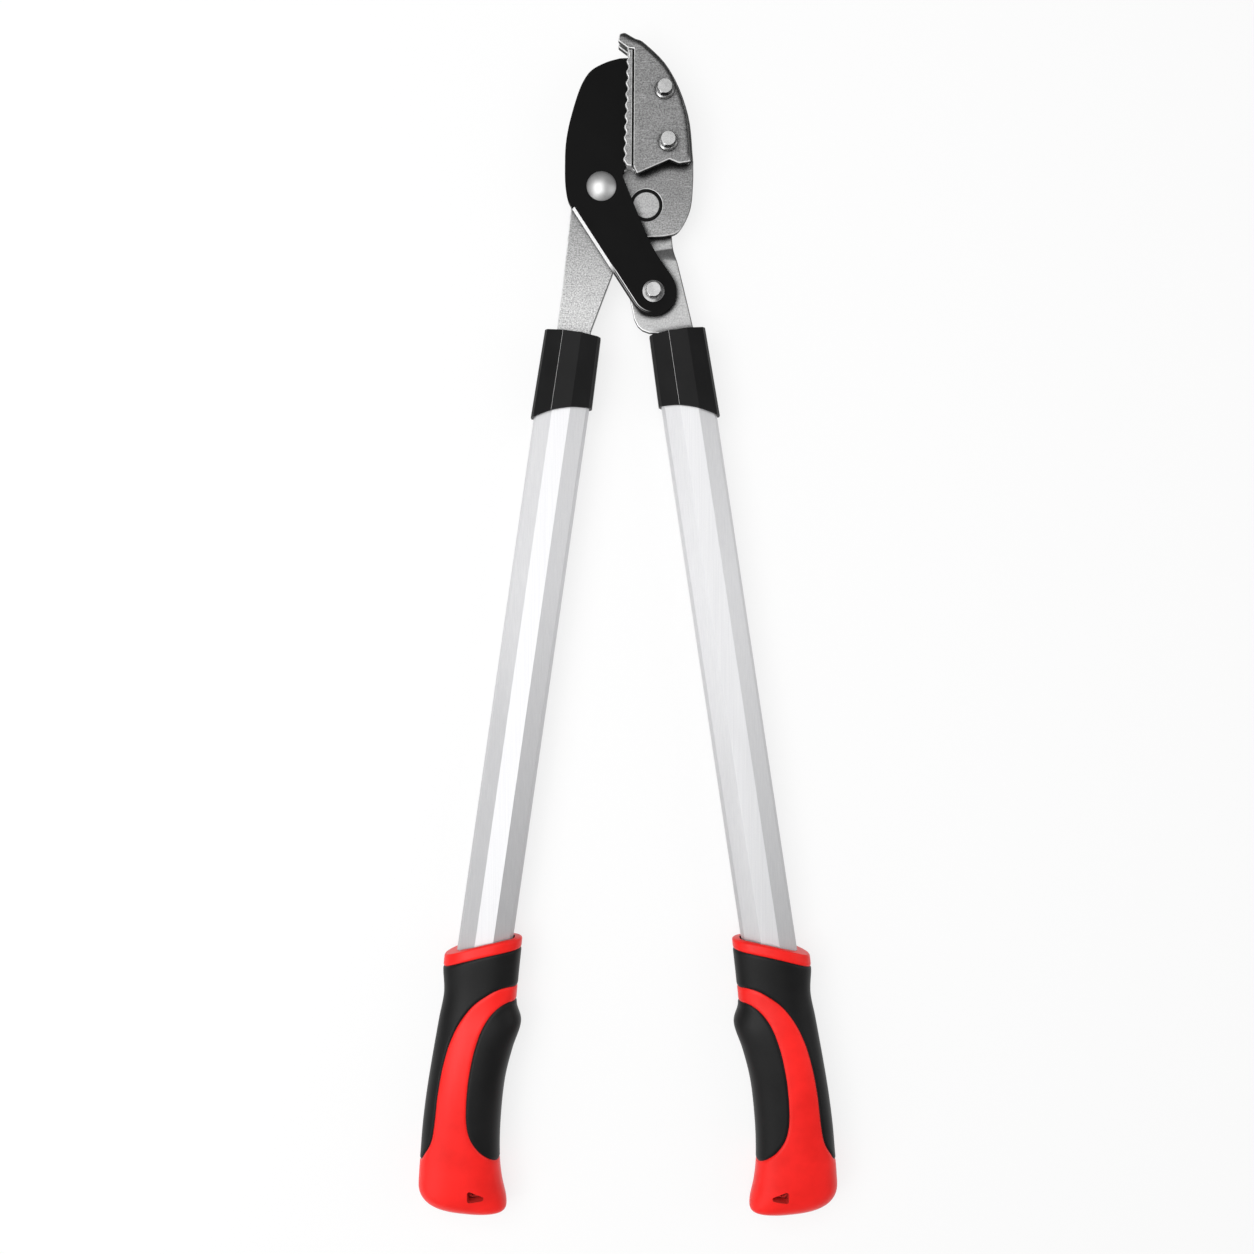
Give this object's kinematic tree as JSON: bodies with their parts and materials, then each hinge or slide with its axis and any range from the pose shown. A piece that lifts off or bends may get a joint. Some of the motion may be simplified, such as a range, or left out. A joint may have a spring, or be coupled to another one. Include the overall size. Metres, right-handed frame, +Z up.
{
  "type": "anvil lopper",
  "caption": "Long-handled anvil lopper with a black blade closing on a serrated anvil, driven by the right handle through a pin in a slot; tubular handles with soft grips.",
  "frame": {"origin": "centre of the footprint on the floor that the closed lopper lies on", "axes": "+Y from the grips towards the tip of the jaws, +X to the right with the front face up, +Z up from the floor"},
  "size_m": [0.2716, 0.7624, 0.035],
  "materials": {
    "blasted_steel": "sandblasted",
    "zinc_steel": "zinc plated",
    "polished_steel": "polished",
    "bronze": "turned",
    "black_coating": "satin non-stick coating",
    "anodised_tube": "satin anodised",
    "black_plastic": "moulded",
    "red_plastic": "moulded, satin",
    "black_rubber": "soft, matte"
  },
  "bodies": {
    "left_handle": {"jaw_plate": "blasted_steel", "anvil_strip": "blasted_steel", "anvil_cover": "blasted_steel", "anvil_bolts": "zinc_steel", "anvil_nuts": "zinc_steel", "blade_rivet": "polished_steel", "handle_rivet": "blasted_steel", "left_tube": "anodised_tube", "left_plug": "black_plastic", "left_tang_rivets": "zinc_steel", "left_collar": "black_plastic", "left_grip_body": "red_plastic", "left_grip_overmould": "black_rubber"},
    "blade": {"blade": "black_coating", "blade_washer": "zinc_steel", "drive_bolt": "zinc_steel", "drive_bush": "bronze", "drive_washer": "zinc_steel", "drive_nut": "zinc_steel"},
    "right_handle": {"right_tang": "blasted_steel", "handle_washer": "zinc_steel", "right_tube": "anodised_tube", "right_plug": "black_plastic", "right_tang_rivets": "zinc_steel", "right_collar": "black_plastic", "right_grip_body": "red_plastic", "right_grip_overmould": "black_rubber"}
  },
  "joints": [
    {"name": "handle_pivot", "type": "hinge", "parent": "left_handle", "child": "right_handle", "pos_m": [0.01193, 0.27254, 0.0175], "axis": [0, 0, 1], "range_deg": [0, 60]},
    {"name": "blade_pivot", "type": "hinge", "parent": "left_handle", "child": "blade", "pos_m": [-0.01707, 0.28334, 0.0175], "axis": [0, 0, 1], "range_deg": [0, 36]}
  ],
  "couplings": [
    {"joint": "blade_pivot", "follows": "handle_pivot", "ratio": 0.6}
  ]
}
